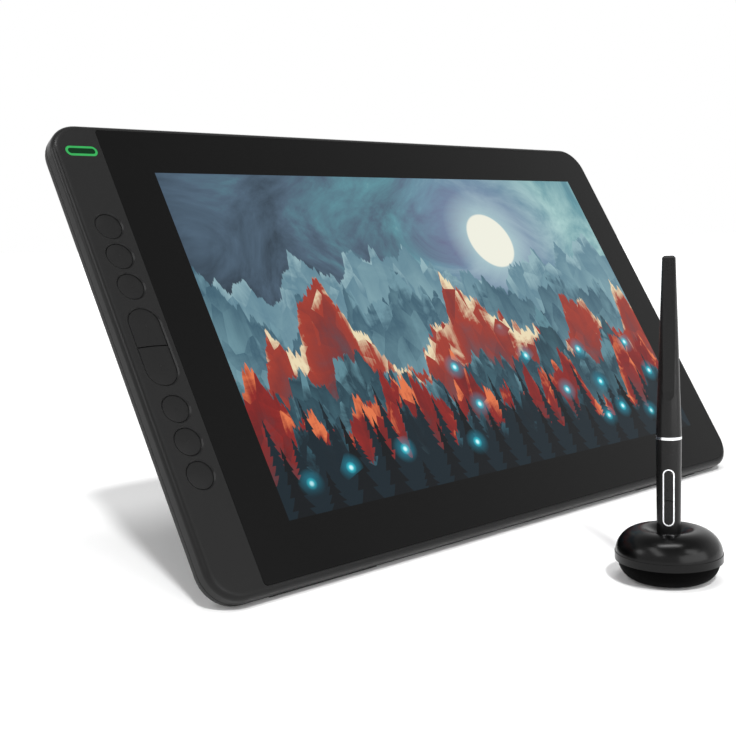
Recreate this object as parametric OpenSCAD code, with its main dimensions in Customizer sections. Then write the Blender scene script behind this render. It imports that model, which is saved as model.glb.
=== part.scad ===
// Pen display tablet on its kickstand, with a pen standing in a pen stand in front of it.
// The tablet is drawn lying in its own plane: x to the right, y up the screen, z out of the screen,
// with y = 0 at its lower edge and z = 0 at its front face. It is then leaned back on the desk.

/* [Screen] */
// Width of the lit picture
active_w = 309.4; // [290:0.1:320]
// Height of the lit picture
active_h = 174; // [163:0.1:180]
// Width of the panel's border at its left, right and top
panel_border = 3; // [2:0.1:4]
// Width of the panel's lower border, which holds its drivers
panel_foot = 8; // [6:0.1:10]
// Thickness of the panel
panel_t = 1.4; // [1.2:0.1:1.6]
// Thickness of the backlight
backlight_t = 1.8; // [1.5:0.1:2]
// Thickness of the pen sensor board
sensor_t = 0.5; // [0.3:0.05:0.6]
// Thickness of the shield plate
shield_t = 0.5; // [0.3:0.05:0.6]

/* [Body] */
// Body beyond the picture on the left, with the key strip
margin_left = 47.4; // [46:0.1:56]
// Body beyond the picture on the right
margin_right = 25.2; // [22:0.1:32]
// Body below the picture
margin_bottom = 26.9; // [25:0.1:32]
// Body above the picture
margin_top = 25.7; // [24:0.1:32]
// Thickness of the body
body_t = 12; // [11.8:0.1:14]
// Radius of the body's corners, seen from the front
corner_r = 15.5; // [13:0.5:22]
// Radius of the rim around the front face
rim_r = 3; // [2:0.1:3.2]
// Radius of the edge around the back
back_r = 4.3; // [3.8:0.1:5]
// Wall of the frame and of the rear cover
wall = 2; // [1.8:0.1:2.3]
// Depth of the joint between frame and rear cover, from the front face
split_depth = 6.5; // [6.4:0.1:7]
// Thickness of the frame's front plate
plate_t = 2.6; // [2.4:0.1:2.8]
// Lean of the screen from the desk, in degrees
tilt = 59; // [52:0.2:60]

/* [Glass] */
// Thickness of the cover glass
glass_t = 1.1; // [0.8:0.1:1.3]
// Body edge to the glass on the left
strip_w = 24; // [23:0.1:27]
// Glass corner radius beside the key strip
glass_left_r = 2; // [1:0.1:4]
// Gap around the glass
glass_gap = 0.15; // [0.1:0.01:0.3]
// Thickness of the adhesive under the glass
glue_t = 0.1; // [0.05:0.01:0.2]

/* [Keys] */
// Body's left edge to the middle of the keys
key_inset = 13.7; // [13.2:0.1:15]
// Diameter of a round key
key_d = 12.1; // [11:0.1:13]
// Distance between neighbouring round keys
key_pitch = 15.1; // [14.6:0.1:16]
// Distance from the middle of the pill to the nearest round key
key_first = 29.2; // [28.5:0.1:32]
// Width of the pill key
pill_w = 14.6; // [13:0.1:15]
// Length of the pill key
pill_len = 36.4; // [32:0.1:37]
// Gap around a key
key_gap = 0.25; // [0.15:0.01:0.35]
// Gap between the two halves of the pill
pill_split = 0.5; // [0.3:0.05:0.8]
// Travel of a key
key_travel = 0.5; // [0.3:0.05:0.6]
// Height of the crown on a key
key_crown = 0.55; // [0.3:0.05:0.8]
// Width of the chamfer around a key's hole
key_chamfer = 0.6; // [0.2:0.05:0.8]
// How far a key's crown lies below the front face
key_sink = 0.2; // [0.1:0.05:0.4]

/* [Status light] */
// Length of the light ring
light_len = 15.6; // [12:0.1:17]
// Height of the light ring
light_h = 5.1; // [4:0.1:6]
// Width of the light ring's line
light_line = 1.1; // [0.9:0.1:1.6]
// Body's top edge to the middle of the light ring
light_drop = 14.8; // [12:0.1:18]

/* [Kickstand] */
// Width of the kickstand
leg_w = 170; // [140:1:180]
// Thickness of the kickstand
leg_t = 3.2; // [2.8:0.1:3.4]
// Height of the hinge up the back
hinge_up = 140; // [135:1:146]
// Opening of the kickstand, in degrees
leg_open = 48; // [44:1:50]
// Diameter of the kickstand's barrel
barrel_d = 4.6; // [4.4:0.1:4.8]
// Diameter of a hinge pin
pin_d = 2; // [1.6:0.1:2.2]
// Length of a hinge pin in the kickstand
pin_in = 7; // [5:0.5:12]
// Length of a hinge bracket
bracket_len = 11; // [8:0.5:14]
// Room around the folded kickstand
leg_room = 0.5; // [0.3:0.05:0.8]

/* [Ports and button] */
// Width of a cable socket
port_w = 9; // [8.8:0.05:9.2]
// Height of a cable socket
port_h = 3.2; // [3:0.05:3.3]
// Depth of a cable socket
port_len = 7.3; // [6.5:0.1:8]
// Heights of the cable sockets up the right edge
port_up = [158, 174];
// Body's right edge to the middle of the power button
power_in = 41; // [34:1:44]
// Length of the power button
power_len = 11; // [8:0.5:14]
// Height of the power button
power_h = 2.2; // [1.8:0.1:2.4]
// Travel of the power button
power_travel = 0.5; // [0.3:0.05:0.6]

/* [Feet] */
// Length of a foot along the lower edge
foot_len = 60; // [40:1:70]
// Middle of a lower foot from the body's middle
foot_x = 130; // [125:1:135]
// How far a lower foot stands proud
foot_proud = 0.4; // [0.3:0.1:0.8]
// How deep a lower foot is let in
foot_sunk = 1; // [0.6:0.1:1.2]
// Diameter of a back pad
pad_d = 14; // [10:0.5:16]
// How far a back pad stands proud
pad_proud = 0.8; // [0.5:0.1:1]
// How deep a back pad is let in
pad_sunk = 0.8; // [0.5:0.1:1]

/* [Pen] */
// Length of the pen
pen_len = 131; // [124:0.5:145]
// Largest diameter of the pen
pen_d = 10.3; // [10:0.05:10.8]
// Diameter of the grip just above the tip
grip_d = 9.6; // [9.4:0.05:9.8]
// Diameter of the tail's end
tail_d = 5.4; // [5:0.1:6]
// Diameter at the mouth of the tip
tip_d = 3.6; // [3.4:0.1:3.8]
// Length of the tip's cone
cone_len = 9.9; // [9:0.1:11]
// Diameter of the nib
nib_d = 1.6; // [1.4:0.05:1.7]
// How far the nib stands out
nib_out = 1.6; // [1.2:0.1:2]
// Travel of the nib
nib_travel = 0.5; // [0.3:0.05:0.6]
// Nib's point to the bright ring
ring_up = 56.3; // [53:0.1:60]
// Width of the bright ring
ring_w = 1.1; // [0.8:0.1:2]
// Wall of the pen's barrel
pen_wall = 1.2; // [1:0.05:1.3]
// Nib's point to the lower end of the side buttons
button_up = 20.7; // [19:0.1:22]
// Length of the side buttons with their surround
button_len = 23.7; // [22:0.1:26]
// Width of the side buttons with their surround
button_w = 4.7; // [4.4:0.1:5]
// Share of the length in the lower side button
button_share = 0.45; // [0.4:0.01:0.6]
// Width of the bright surround
surround_w = 0.5; // [0.35:0.05:0.7]
// Travel of a side button
button_travel = 0.4; // [0.2:0.05:0.5]
// Length of the tail cap
cap_len = 9; // [8:0.1:11]
// Length of the facet on the tail
facet_len = 54; // [45:0.5:58]
// Turn of the pen, so that its buttons face the user, in degrees
pen_turn = -148; // [-180:1:180]

/* [Pen stand] */
// Pen stand's middle, from the body's middle
stand_x = -32; // [-120:1:120]
// Pen stand's middle, in front of the tablet's lower edge
stand_front = 97; // [60:1:140]
// Diameter of the pen stand
stand_d = 44; // [43:0.5:50]
// Height of the pen stand
stand_h = 21.8; // [21:0.1:22.6]
// Height of the matt base, above which the top shell starts
base_h = 8.7; // [8.4:0.1:9.2]
// Height of the upright band on the top shell
band_h = 3.3; // [2.6:0.1:3.6]
// Diameter of the crest around the dish
crest_d = 23; // [21:0.5:25]
// Wall of the stand's shells
stand_wall = 1.6; // [1.4:0.1:1.8]
// Height of the nib's point above the desk
nib_z = 3; // [2.8:0.1:3.4]
// Gap between the pen and its socket
socket_gap = 0.3; // [0.2:0.05:0.4]
// Thickness of the foot pad
stand_pad_t = 1; // [0.8:0.1:1.2]
// Number of spare nibs
spare_count = 6; // [5:1:6]
// Length of a spare nib
spare_len = 12; // [10:0.5:12.5]

/* [Hidden] */
$fn = 72;
// A little extra, so that a cut passes clean through
cut = 1;
// Small seating clearance between fixed pieces
seat = 0.1;
// Running clearance around the hinge pins and around a press fitted pin
run = 0.05;
pin_fit = 0.02;

// Body, in the tablet's own plane
body_w = margin_left + active_w + margin_right;
body_h = margin_bottom + active_h + margin_top;
active_x = -body_w / 2 + margin_left;
mid_y = body_h / 2;
back_z = -body_t;
inner_back = back_z + wall;

// Layers behind the glass, each the front of the next
panel_z = -glass_t;
backlight_z = panel_z - panel_t;
sensor_z = backlight_z - backlight_t;
shield_z = sensor_z - sensor_t;
shield_back = shield_z - shield_t;

// Panel outline
panel_x = active_x - panel_border;
panel_y = margin_bottom - panel_foot;
panel_w = active_w + 2 * panel_border;
panel_h = active_h + panel_border + panel_foot;
panel_gap = 0.25;

// Ears that hold the shield plate to the frame, on posts outside the panel
ear = 9;
ear_post_d = 5;
ear_out = 5.5;
ear_places = concat(
    [for (x = [0.12, 0.5, 0.88], up = [0, 1])
        [panel_x + x * panel_w, up ? panel_y + panel_h + ear_out : panel_y - ear_out]],
    [for (up = [0.3, 0.7]) [panel_x + panel_w + ear_out, panel_y + up * panel_h]]);
ear_screw_d = 1.8;
ear_screw_head = 3.6;
ear_screw_head_t = 0.6;
ear_screw_len = 1.6;

// Keys
key_x = -body_w / 2 + key_inset;
key_offsets = [for (i = [2, 1, 0]) key_first + i * key_pitch];
flange = 0.9;
flange_t = 0.7;
flange_z = -plate_t - run;
stem_d = 4;
stem_len = 0.4;
stem_bottom = flange_z - flange_t - stem_len;
dome_h = 0.6;
dome_d = 5;
dome_z = stem_bottom - key_travel - run;
key_board_z = dome_z - dome_h;
key_board_t = 1;
key_board_w = 18;
key_dot_d = 1.2;
key_dot_sink = 0.35;
// Steps around the wide circle of a crown, of which only a short arc is used
crown_steps = 360;
// The key board reaches from the lowest key past the status light
key_post_d = 4;
key_post_gap = 0.8;
key_post_out = key_d / 2 + flange + key_post_gap + key_post_d / 2;
key_board_low = mid_y - key_offsets[0] - key_post_out - key_post_d / 2;
light_y = body_h - light_drop;
key_board_high = light_y + light_h / 2 + key_post_gap;

// Status light
light_t = 3.4;
mask_t = 0.6;

// Rear cover screws, in the flat of the back
screw_d = 2;
screw_head_d = 4.6;
screw_head_t = 1;
screw_len = 5;
screw_end = 1;
boss_d = 6;
boss_gap = 1.2;
screw_in = back_r + boss_d / 2 + boss_gap;
screw_xs = [-body_w / 2 + strip_w + boss_d, -leg_w / 2 - 2 * boss_d, leg_w / 2 + 2 * boss_d,
    body_w / 2 - screw_in - boss_d];
screw_places = concat(
    [for (x = screw_xs, up = [0, 1]) [x, up ? body_h - screw_in : screw_in]],
    [[body_w / 2 - screw_in, mid_y - key_d]]);

// Kickstand and hinge, about the hinge axis
leg_flush = 0.1;
hinge_z = back_z + leg_flush + barrel_d / 2;
leg_inner = -barrel_d / 2 + leg_t;
leg_middle = leg_inner - leg_t / 2;
barrel_room = 0.3;
pocket_r = barrel_d / 2 + barrel_room;
heel_top = pocket_r - run;
heel_len = 3.8;
heel_reach = norm([heel_len, pocket_r]);
pocket_under = 1.5;
pocket_low = barrel_d / 2 + pocket_under;
heel_room = 0.4;
pocket_high = heel_reach + heel_room;
pocket_skin = 1.2;
leg_ease = 0.3;
bracket_gap = 0.6;
pocket_half = leg_w / 2 + bracket_gap + bracket_len + seat;
scoop_d = 16;

// Back pads, in from the edges
pad_in = 34;
// Angle at which a lower foot starts around the edge, in degrees
foot_from = 20;

// How the tablet stands: height of its lower front edge above the desk
foot_r = back_r + foot_proud;
lift = foot_r - back_r * sin(tilt) + (body_t - back_r) * cos(tilt);
// Reach of the kickstand from its hinge to the middle of its rounded end, so that it meets the desk
hinge_height = lift + hinge_up * sin(tilt) + hinge_z * cos(tilt);
leg_end_r = leg_t / 2;
leg_reach = (hinge_height - leg_end_r + leg_middle * cos(tilt + leg_open)) / sin(tilt + leg_open);
leg_foot_len = 6;
leg_corner_r = 9;

// Where the set lies on the desk: the origin is under the middle of the whole set
leg_back = hinge_up * cos(tilt) - hinge_z * sin(tilt)
    - leg_reach * cos(tilt + leg_open) - leg_middle * sin(tilt + leg_open) + leg_end_r;
top_back = (body_h - back_r) * cos(tilt) + (body_t - back_r) * sin(tilt) + back_r;
set_back = max(leg_back, top_back);
set_front = -stand_front - stand_d / 2;
edge_y = -(set_back + set_front) / 2;
stand_y = edge_y - stand_front;

// Lip of the rear cover, which fits inside the frame's wall
lip_t = 1;
lip_h = 1.2;
// Fine groove around the joint of frame and cover
seam = 0.3;
cover_room = cut - split_depth - inner_back;

// Main board, with the sockets and the power switch on its front
board_edge = 0.4;
board_post_d = 6;
board_t = 1.2;
board_w = 114.5;
// The sockets lie wholly in the frame, just above the joint
port_lift = 0.35;
board_z = port_lift - split_depth;
port_z = board_z + port_h / 2;
board_right = body_w / 2 - wall - seat - lip_t - board_edge;
board_x = board_right - board_w;
board_y = hinge_up + heel_reach + pocket_skin + board_post_d;
board_high = body_h - screw_in - boss_d / 2 - board_edge;
board_posts = [for (x = [board_x + board_post_d, board_right - board_post_d],
    y = [board_y + board_post_d, board_high - board_post_d]) [x, y]];
port_shell = 0.3;
port_tongue_t = 0.7;
port_tongue_in = 1;
port_tongue_side = 1.2;
port_out = 0.3;
power_x = body_w / 2 - power_in;
power_proud = 0.4;
power_skirt = 1;
power_flange = 0.8;
power_gap = power_travel + run;
switch_w = 6;
switch_len = 4;
switch_h = 3;
switch_plunger = 1;
plunger_d = 2;
switch_y = board_high - switch_len - switch_plunger;
power_z = board_z + switch_h / 2;

// Pen, from the nib's point upwards
ring_proud = 0.06;
ring_r = pen_d / 2 + ring_proud;
ring_top = ring_up + ring_w;
cone_top = nib_out + cone_len;
bore_r = grip_d / 2 - pen_wall;
rear_step = 1;
rear_bore_r = bore_r - rear_step;
nib_len = 19;
nib_bore = nib_d + 4 * seat;
sensor_len = 3.4;
sensor_w = 4.8;
tip_wall = 1;
coil_in = 3;
coil_low = cone_top - coil_in;
coil_len = 9;
coil_r = 2.6;
pen_board_w = 6.6;
pen_board_t = 1;
pen_board_end = 3;
pen_board_top = ring_up - pen_board_end;
switch_t = 1.5;
pen_switch_w = 3;
button_gap = 0.12;
button_split = 0.3;
button_stem_d = 2;
button_mid = button_up + button_len / 2;
button_mid_r = grip_d / 2 + (pen_d - grip_d) / 2 * (button_mid - cone_top) / (ring_up - cone_top);
button_proud = 0.3;
surround_proud = 0.22;
button_stem_x = pen_board_t / 2 + switch_t + button_travel + run;
split_up = button_up + button_len * button_share;
facet_deep = 1.3;
facet_top_x = tail_d / 2 - facet_deep;
facet_low_x = 3.9;
tail_bevel = 0.8;
inlay_w = 3.8;
inlay_len = 5.4;
inlay_r = 0.9;
inlay_in = 1.8;
inlay_depth = 0.6;
facet_low = pen_len - facet_len;
scoop_r = 14;

// Pen stand, from the desk upwards
stand_r = stand_d / 2;
crest_r = crest_d / 2;
band_top = base_h + band_h;
dome_in = 0.25;
dome_run = stand_r - dome_in - crest_r;
dome_rise = stand_h - band_top;
dome_r = (dome_run * dome_run + dome_rise * dome_rise) / (2 * dome_rise);
mouth_r = grip_d / 2 + socket_gap;
dish_drop = 2.5;
dish_run = crest_r - mouth_r;
dish_r = (dish_run * dish_run + dish_drop * dish_drop) / (2 * dish_drop);
pad_show = 0.4;
foot_corner = base_h - pad_show;
bowl_in = 1.4;
bowl_r = stand_r - bowl_in;
bowl_mid = bowl_r - foot_corner;
base_floor = pad_show + stand_wall;
shell_gap = 0.2;
well_r = 7;
well_low = base_floor + stand_wall;
spigot_t = 1.2;
spigot_depth = 2;
spigot_low = base_h - spigot_depth;
spigot_r = bowl_mid + sqrt(pow(foot_corner - stand_wall, 2) - pow(spigot_depth, 2)) - 2 * run;
spigot_in = spigot_r - spigot_t;
spigot_high = stand_h - dome_r + stand_wall / 4
    + sqrt(pow(dome_r - stand_wall, 2) - pow(spigot_in - crest_r, 2));
pad_edge = 1;
pad_r = bowl_mid - pad_edge;
weight_gap = 1;
weight_in = well_r + weight_gap;
weight_room = 0.4;
weight_out = bowl_mid - weight_room;
weight_t = 4.4;
tray_z = base_floor + weight_t;
tray_t = base_h - tray_z;
tray_out = spigot_in - shell_gap;
spare_r = 13;

// Places

module on_desk() {
    translate([0, edge_y, lift]) rotate([tilt, 0, 0]) children();
}

module at_hinge(turn = 0) {
    translate([0, hinge_up, hinge_z]) rotate([turn, 0, 0]) children();
}

module at_stand() {
    translate([stand_x, stand_y, 0]) children();
}

module at_pen() {
    at_stand() translate([0, 0, nib_z]) rotate(pen_turn) children();
}

module both_sides() {
    children();
    mirror([1, 0, 0]) children();
}

// Shared shapes

module rounded_rect(w, h, r) {
    square([w, h - 2 * r], center = true);
    square([w - 2 * r, h], center = true);
    for (x = [-1, 1], y = [-1, 1]) translate([x * (w / 2 - r), y * (h / 2 - r)]) circle(r);
}

module stadium(len, wid) {
    square([len - wid, wid], center = true);
    for (x = [-1, 1]) translate([x * (len - wid) / 2, 0]) circle(d = wid);
}

module quarter_disc(r) {
    intersection() {
        circle(r);
        square(r);
    }
}

// A rounded plate with its top at z = 0 and a round of radius e along its upper edge
module soft_slab(w, h, r, depth, e) {
    translate([0, 0, -depth]) linear_extrude(depth - e) rounded_rect(w, h, r);
    translate([0, 0, -e]) linear_extrude(e) rounded_rect(w - 2 * e, h - 2 * e, r - e);
    for (i = [0, 1]) {
        mirror([0, i, 0]) translate([-(w / 2 - r), h / 2 - e, -e]) rotate([90, 0, 90])
            linear_extrude(w - 2 * r) quarter_disc(e);
        mirror([i, 0, 0]) translate([w / 2 - e, h / 2 - r, -e]) rotate([90, 0, 0])
            linear_extrude(h - 2 * r) quarter_disc(e);
        for (j = [0, 1]) mirror([i, 0, 0]) mirror([0, j, 0]) translate([w / 2 - r, h / 2 - r, -e])
            rotate_extrude(angle = 90) translate([r - e, 0]) quarter_disc(e);
    }
}

// The body's outline shrunk by an inset
module body_outline(inset) {
    translate([0, mid_y]) rounded_rect(body_w - 2 * inset, body_h - 2 * inset, corner_r - inset);
}

// The glass, or its seat in the frame when grown
module glass_outline(grow = 0) {
    left = -body_w / 2 + strip_w + glass_gap - grow;
    low = rim_r + glass_gap - grow;
    intersection() {
        body_outline(low);
        union() {
            translate([left + glass_left_r, 0]) square([body_w, body_h]);
            translate([left, low + glass_left_r]) square([body_w, body_h - 2 * (low + glass_left_r)]);
            for (y = [low + glass_left_r, body_h - low - glass_left_r])
                translate([left + glass_left_r, y]) circle(glass_left_r);
        }
    }
}

module panel_layer(grow = 0) {
    translate([panel_x - grow, panel_y - grow]) square([panel_w + 2 * grow, panel_h + 2 * grow]);
}

// Tablet: frame, screen and boards

module key_hole() {
    hole_r = key_d / 2 + key_gap;
    translate([0, 0, -plate_t - cut]) cylinder(r = hole_r, h = plate_t + 2 * cut);
    translate([0, 0, -key_chamfer])
        cylinder(r1 = hole_r, r2 = hole_r + key_chamfer + cut, h = key_chamfer + cut);
}

// A pill hole with a chamfered mouth, its ends turned and its sides extruded
module pill_hole() {
    hole_w = pill_w + 2 * key_gap;
    run_len = pill_len - pill_w;
    translate([0, 0, -plate_t - cut]) linear_extrude(plate_t + 2 * cut)
        rotate(90) stadium(run_len + hole_w, hole_w);
    for (end = [-1, 1]) translate([0, end * run_len / 2, -key_chamfer])
        cylinder(d1 = hole_w, d2 = hole_w + 2 * (key_chamfer + cut), h = key_chamfer + cut);
    translate([0, run_len / 2, 0]) rotate([90, 0, 0]) linear_extrude(run_len)
        polygon([[-hole_w / 2, -key_chamfer], [hole_w / 2, -key_chamfer],
            [hole_w / 2 + key_chamfer + cut, cut], [-hole_w / 2 - key_chamfer - cut, cut]]);
}

module front_frame() color("#363636") on_desk() difference() {
    union() {
        difference() {
            translate([0, mid_y, 0]) soft_slab(body_w, body_h, corner_r, split_depth, rim_r);
            translate([0, 0, -split_depth - cut]) linear_extrude(split_depth - plate_t + cut)
                body_outline(wall);
            translate([0, 0, -glass_t - glue_t]) linear_extrude(glass_t + glue_t + cut)
                glass_outline(glass_gap);
            translate([0, 0, -split_depth]) linear_extrude(split_depth + cut) panel_layer(panel_gap);
        }
        for (p = screw_places) translate([p[0], p[1], inner_back + seat])
            cylinder(d = boss_d, h = -plate_t - inner_back - seat);
        for (p = ear_places) translate([p[0], p[1], shield_z])
            cylinder(d = ear_post_d, h = -plate_t - shield_z);
        for (s = [-1, 1]) translate([key_x, mid_y + s * (key_offsets[0] + key_post_out), key_board_z])
            cylinder(d = key_post_d, h = -plate_t - key_board_z);
    }
    for (s = [-1, 1], y = key_offsets) translate([key_x, mid_y + s * y, 0]) key_hole();
    translate([key_x, mid_y, 0]) pill_hole();
    translate([key_x, light_y, -plate_t - cut]) linear_extrude(plate_t + 2 * cut)
        stadium(light_len + 2 * seat, light_h + 2 * seat);
    for (p = screw_places) translate([p[0], p[1], inner_back - cut])
        cylinder(d = screw_d, h = screw_len + cut);
    for (p = ear_places) translate([p[0], p[1], shield_z - cut])
        cylinder(d = ear_screw_d, h = -plate_t - shield_z + cut);
    for (y = port_up) translate([body_w / 2 - wall - cut, y, port_z]) rotate([90, 0, 90])
        linear_extrude(wall + 2 * cut) stadium(port_w + 2 * seat, port_h + 2 * seat);
    translate([power_x, body_h + cut, power_z]) rotate([90, 0, 0])
        linear_extrude(wall + 2 * cut) stadium(power_len + 2 * key_gap, power_h + 2 * key_gap);
}

module cover_glass() color("#1c1c1e", 0.6) on_desk()
    translate([0, 0, -glass_t]) linear_extrude(glass_t) glass_outline();

module screen_panel() color("#3a6a80") on_desk()
    translate([0, 0, backlight_z]) linear_extrude(panel_t) panel_layer();

module backlight() color("white") on_desk()
    translate([0, 0, sensor_z]) linear_extrude(backlight_t) panel_layer();

module pen_sensor_board() color("#1f5a3a") on_desk()
    translate([0, 0, shield_z]) linear_extrude(sensor_t) panel_layer();

module shield_plate() color("#b0b4b8") on_desk() difference() {
    translate([0, 0, shield_back]) linear_extrude(shield_t) union() {
        panel_layer();
        for (p = ear_places) {
            inward = [min(max(p[0], panel_x + ear), panel_x + panel_w - ear),
                min(max(p[1], panel_y + ear), panel_y + panel_h - ear)];
            reach = [abs(p[0] - inward[0]), abs(p[1] - inward[1])];
            translate((p + inward) / 2) square([ear, ear] + reach, center = true);
        }
    }
    for (p = ear_places) translate([p[0], p[1], shield_back - cut])
        cylinder(d = ear_screw_d + 2 * seat, h = shield_t + 2 * cut);
}

module panel_screws() color("#c8c8c8") on_desk() for (p = ear_places) translate([p[0], p[1], shield_back]) {
    translate([0, 0, -ear_screw_head_t]) cylinder(d = ear_screw_head, h = ear_screw_head_t);
    cylinder(d = ear_screw_d - 2 * pin_fit, h = shield_t + ear_screw_len);
}

module key_board() color("#1f5a3a") on_desk()
    translate([key_x - key_board_w / 2, key_board_low, key_board_z - key_board_t])
        cube([key_board_w, key_board_high - key_board_low, key_board_t]);

// Places of the key switches up the strip: six round keys and the two halves of the pill
key_switch_ys = concat([for (s = [-1, 1], y = key_offsets) mid_y + s * y],
    [for (s = [-1, 1]) mid_y + s * pill_len / 4]);

module dome_switches() color("#d0d0d0") on_desk() for (y = key_switch_ys)
    translate([key_x, y, key_board_z]) cylinder(d1 = dome_d, d2 = stem_d, h = dome_h);

module status_light() color("#3fae5c") on_desk() translate([key_x, light_y, -light_t]) difference() {
    linear_extrude(light_t) stadium(light_len, light_h);
    translate([0, 0, light_t - mask_t]) linear_extrude(mask_t + cut)
        stadium(light_len - 2 * light_line, light_h - 2 * light_line);
}

module status_light_mask() color("#0f3a1e") on_desk() translate([key_x, light_y, -mask_t]) {
    rim = light_line + pin_fit;
    linear_extrude(mask_t) stadium(light_len - 2 * rim, light_h - 2 * rim);
}

// Upper part of a key of this width, seen along it: an arc crowns it
module key_profile(width) {
    crown_r = (width * width / 4 + key_crown * key_crown) / (2 * key_crown);
    intersection() {
        translate([-width / 2, flange_z]) square([width, -flange_z]);
        translate([0, -key_sink - crown_r]) circle(crown_r, $fn = crown_steps);
    }
}

module crowned_cap(width) {
    rotate_extrude() intersection() {
        key_profile(width);
        translate([0, flange_z]) square([width, -flange_z]);
    }
}

// The small raised dot that a finger finds
module key_dot() {
    translate([0, 0, -key_sink - key_dot_sink]) sphere(d = key_dot_d);
}

module round_key(y, dot) {
    color("#2f2f2f") on_desk() translate([key_x, y, 0]) {
        crowned_cap(key_d);
        if (dot) key_dot();
        translate([0, 0, flange_z - flange_t]) cylinder(d = key_d + 2 * flange, h = flange_t);
        translate([0, 0, stem_bottom]) cylinder(d = stem_d, h = flange_z - flange_t - stem_bottom);
    }
}

// Half of the pill: its crown runs along its middle and rounds off at its end
module pill_key(side) {
    run_len = pill_len - pill_w;
    color("#2f2f2f") on_desk() translate([key_x, mid_y, 0]) {
        intersection() {
            union() {
                translate([0, side * run_len / 2, 0]) crowned_cap(pill_w);
                translate([0, run_len / 2, 0]) rotate([90, 0, 0]) linear_extrude(run_len)
                    key_profile(pill_w);
                translate([0, 0, flange_z - flange_t]) linear_extrude(flange_t)
                    rotate(90) stadium(pill_len + 2 * flange, pill_w + 2 * flange);
            }
            translate([-pill_w, side > 0 ? pill_split / 2 : -pill_len - pill_split / 2, -body_t])
                cube([2 * pill_w, pill_len, body_t]);
        }
        translate([0, side * pill_len / 4, 0]) {
            translate([0, 0, stem_bottom]) cylinder(d = stem_d, h = flange_z - flange_t - stem_bottom);
            key_dot();
        }
    }
}

module key_upper_1() round_key(mid_y + key_offsets[0], false);
module key_upper_2() round_key(mid_y + key_offsets[1], true);
module key_upper_3() round_key(mid_y + key_offsets[2], false);
module key_pill_upper() pill_key(1);
module key_pill_lower() pill_key(-1);
module key_lower_1() round_key(mid_y - key_offsets[2], false);
module key_lower_2() round_key(mid_y - key_offsets[1], true);
module key_lower_3() round_key(mid_y - key_offsets[0], false);

module main_board() color("#1f5a3a") on_desk() {
    chip_t = 1;
    board_h = board_high - board_y;
    translate([board_x, board_y, board_z - board_t]) cube([board_w, board_h, board_t]);
    // Each chip: its place across and up the board and its width, all as shares of the board
    for (c = [[0.23, 0.26, 0.14], [0.5, 0.4, 0.1], [0.68, 0.22, 0.06]])
        translate([board_x + c[0] * board_w, board_y + c[1] * board_h, board_z - board_t - chip_t])
            cube([c[2] * board_w, c[2] * board_w, chip_t + seat]);
}

module cable_sockets() color("#c8ccd0") on_desk() for (y = port_up)
    translate([body_w / 2 - port_out - port_len, y, port_z]) rotate([90, 0, 90]) {
        difference() {
            linear_extrude(port_len) stadium(port_w, port_h);
            translate([0, 0, port_shell]) linear_extrude(port_len)
                stadium(port_w - 2 * port_shell, port_h - 2 * port_shell);
        }
        linear_extrude(port_len - port_tongue_in)
            square([port_w - 2 * port_tongue_side, port_tongue_t], center = true);
    }

module power_switch() color("#222222") on_desk() translate([power_x, switch_y, board_z]) {
    translate([-switch_w / 2, 0, 0]) cube([switch_w, switch_len, switch_h]);
    translate([0, switch_len, switch_h / 2]) rotate([-90, 0, 0]) cylinder(d = plunger_d, h = switch_plunger);
}

module power_button() color("#2f2f2f") on_desk() translate([power_x, 0, power_z]) {
    skirt_y = body_h - wall - run;
    switch_tip = switch_y + switch_len + switch_plunger + power_gap;
    translate([0, body_h + power_proud, 0]) rotate([90, 0, 0])
        linear_extrude(body_h + power_proud - skirt_y) stadium(power_len, power_h);
    translate([0, skirt_y, 0]) rotate([90, 0, 0]) linear_extrude(power_skirt)
        stadium(power_len + 2 * power_flange, power_h + power_flange);
    translate([0, switch_tip, 0]) rotate([-90, 0, 0])
        cylinder(d = plunger_d, h = skirt_y - power_skirt - switch_tip);
}

// Tablet: rear cover and what stands behind it

// A lower foot: a band around the back's lower edge
module foot_band(r_in, r_out) {
    translate([foot_x + foot_len / 2, back_r, back_z + back_r]) rotate([90, 0, -90]) linear_extrude(foot_len)
        intersection() {
            difference() {
                circle(r_out);
                circle(r_in);
            }
            polygon([[0, 0], [2 * r_out, -2 * r_out * tan(foot_from)], [2 * r_out, -2 * r_out],
                [2 * r_out * tan(foot_from / 2), -2 * r_out]]);
        }
}

module pad_places() {
    for (x = [-1, 1], y = [pad_in, body_h - pad_in])
        translate([x * (body_w / 2 - pad_in), y, back_z]) children();
}

module hinge_pocket(grow = 0) {
    translate([-pocket_half - grow, -pocket_low - grow, -body_t])
        cube([2 * (pocket_half + grow), pocket_low + pocket_high + 2 * grow, body_t + pocket_r + grow]);
}

module leg_recess(grow = 0) {
    half = leg_w / 2 + leg_room + grow;
    low = -leg_reach - leg_end_r - leg_room - grow;
    translate([-half, low, -body_t]) cube([2 * half, -low, body_t + leg_inner + leg_ease + grow]);
}

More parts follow.
